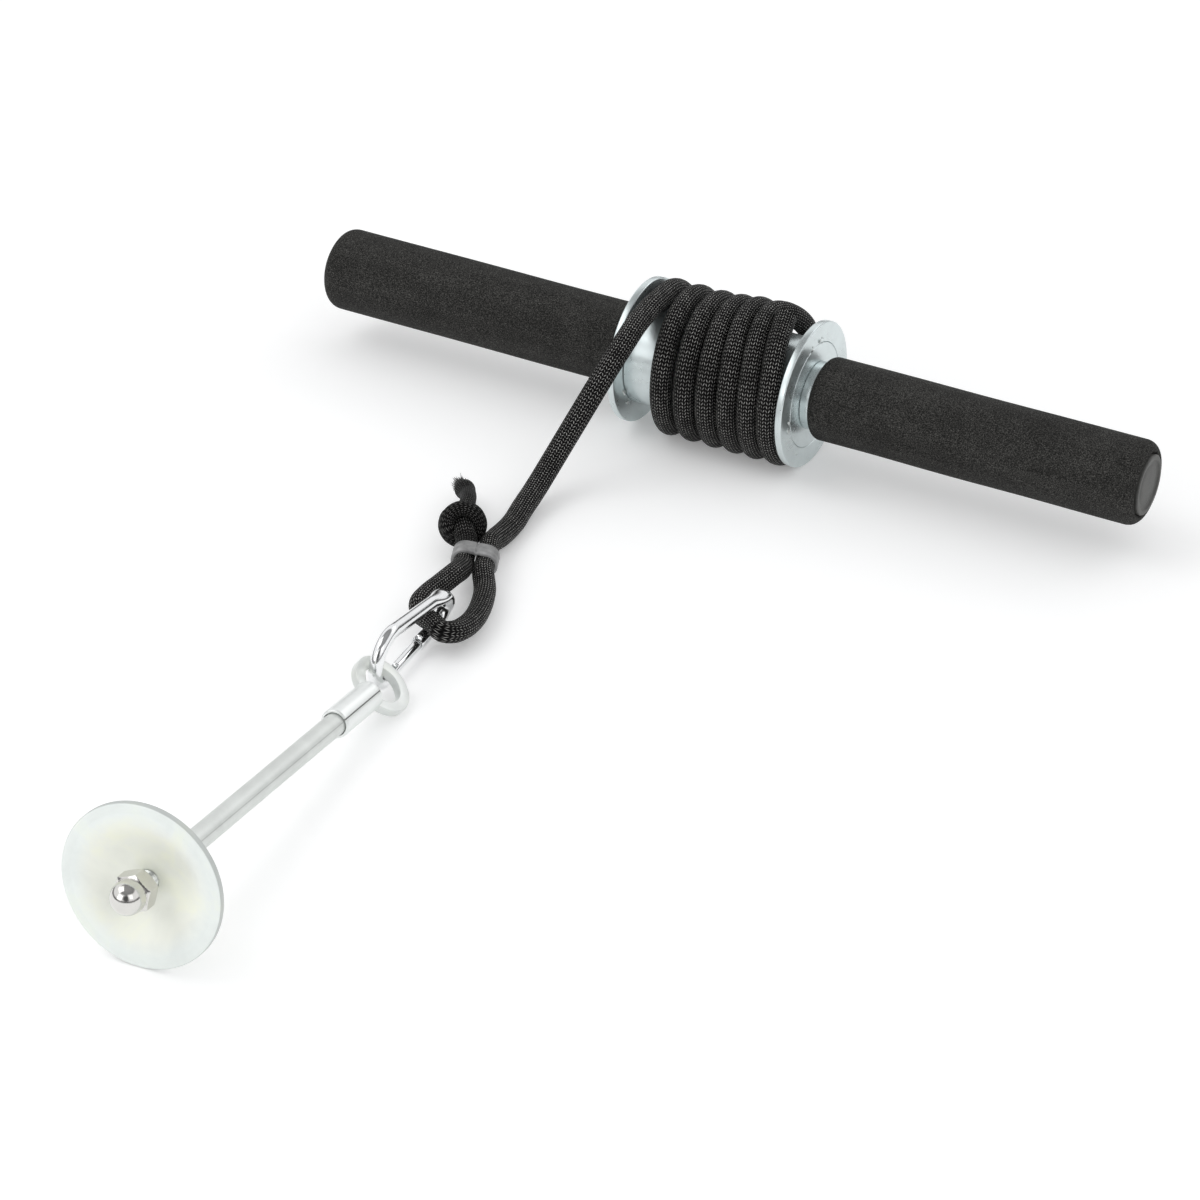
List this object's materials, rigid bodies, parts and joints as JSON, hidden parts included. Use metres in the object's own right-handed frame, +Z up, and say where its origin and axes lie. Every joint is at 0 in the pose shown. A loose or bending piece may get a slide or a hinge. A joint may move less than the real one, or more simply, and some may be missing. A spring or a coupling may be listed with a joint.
{
  "type": "wrist roller",
  "caption": "Steel bar with two foam grips and a flanged rope spool; a clamped and knotted rope carries a snap hook and a swivel load pin with a dished plate disc and dome nut.",
  "frame": {"origin": "on the floor under the middle of the bar, at the flat underside of the rope winding", "axes": "+X along the bar to the right grip, +Y away from the load, +Z up. The rope runs out along -Y."},
  "size_m": [0.375, 0.4841, 0.0676],
  "materials": {
    "zinc_steel": "satin bluish zinc plating",
    "bright_zinc": "bright zinc plating with a yellow and blue tint",
    "polished_steel": "polished",
    "grip_foam": "matt closed-cell foam with a fine grain",
    "rope": "braided, with a slight sheen",
    "cap_plastic": "matt moulded",
    "clamp_steel": "dark satin"
  },
  "bodies": {
    "rope": {"rope_winding": "rope", "rope_span": "rope"},
    "roller": {"bar_tube": "zinc_steel", "drum_tube": "zinc_steel", "drum_end_right": "zinc_steel", "drum_end_left": "zinc_steel", "flange_right": "zinc_steel", "flange_left": "zinc_steel", "hub_sleeve_right": "zinc_steel", "hub_sleeve_left": "zinc_steel", "grip_right": "grip_foam", "grip_left": "grip_foam", "end_cap_right": "cap_plastic", "end_cap_left": "cap_plastic"},
    "rope_end": {"rope_loop": "rope", "rope_knot": "rope", "rope_clamp": "clamp_steel"},
    "snap_hook": {"hook_frame": "polished_steel", "gate_pin": "polished_steel"},
    "gate": {"hook_gate": "polished_steel", "gate_spring": "zinc_steel"},
    "swivel_eye": {"eye_ring": "bright_zinc", "ferrule": "bright_zinc"},
    "load_pin": {"load_rod": "bright_zinc", "swivel_collar": "bright_zinc", "plate_disc": "bright_zinc", "dome_nut": "polished_steel"}
  },
  "joints": [
    {"name": "roller_turn", "type": "hinge", "parent": "rope", "child": "roller", "pos_m": [0, 0, 0.03112], "axis": [-1, 0, 0], "range_deg": [0, 90]},
    {"name": "rope_reel", "type": "slide", "parent": "rope", "child": "rope_end", "axis": [0, 1, 0], "range_m": [0, 0.0432], "deforming": ["rope_span"]},
    {"name": "hook_swing", "type": "hinge", "parent": "rope_end", "child": "snap_hook", "pos_m": [-0.01984, -0.20915, 0.01156], "axis": [-0.9245, 0.3777, 0.0517], "range_deg": [0, 60]},
    {"name": "gate_open", "type": "hinge", "parent": "snap_hook", "child": "gate", "pos_m": [-0.01762, -0.23923, 0.00468], "axis": [0.989, 0.0981, -0.1109], "range_deg": [0, 26], "stiffness_Nm_per_rad": 0.02, "springref_deg": -20.05},
    {"name": "eye_swing", "type": "hinge", "parent": "snap_hook", "child": "swivel_eye", "pos_m": [-0.0146, -0.255, 0.0162], "axis": [0, 0, -1], "range_deg": [-3, 35]},
    {"name": "rod_swivel", "type": "hinge", "parent": "swivel_eye", "child": "load_pin", "pos_m": [-0.00943, -0.28946, 0.01317], "axis": [0.0854, -0.9897, 0.1153], "continuous": true}
  ],
  "couplings": [
    {"joint": "rope_reel", "follows": "roller_turn", "m_per_rad": 0.0274}
  ]
}
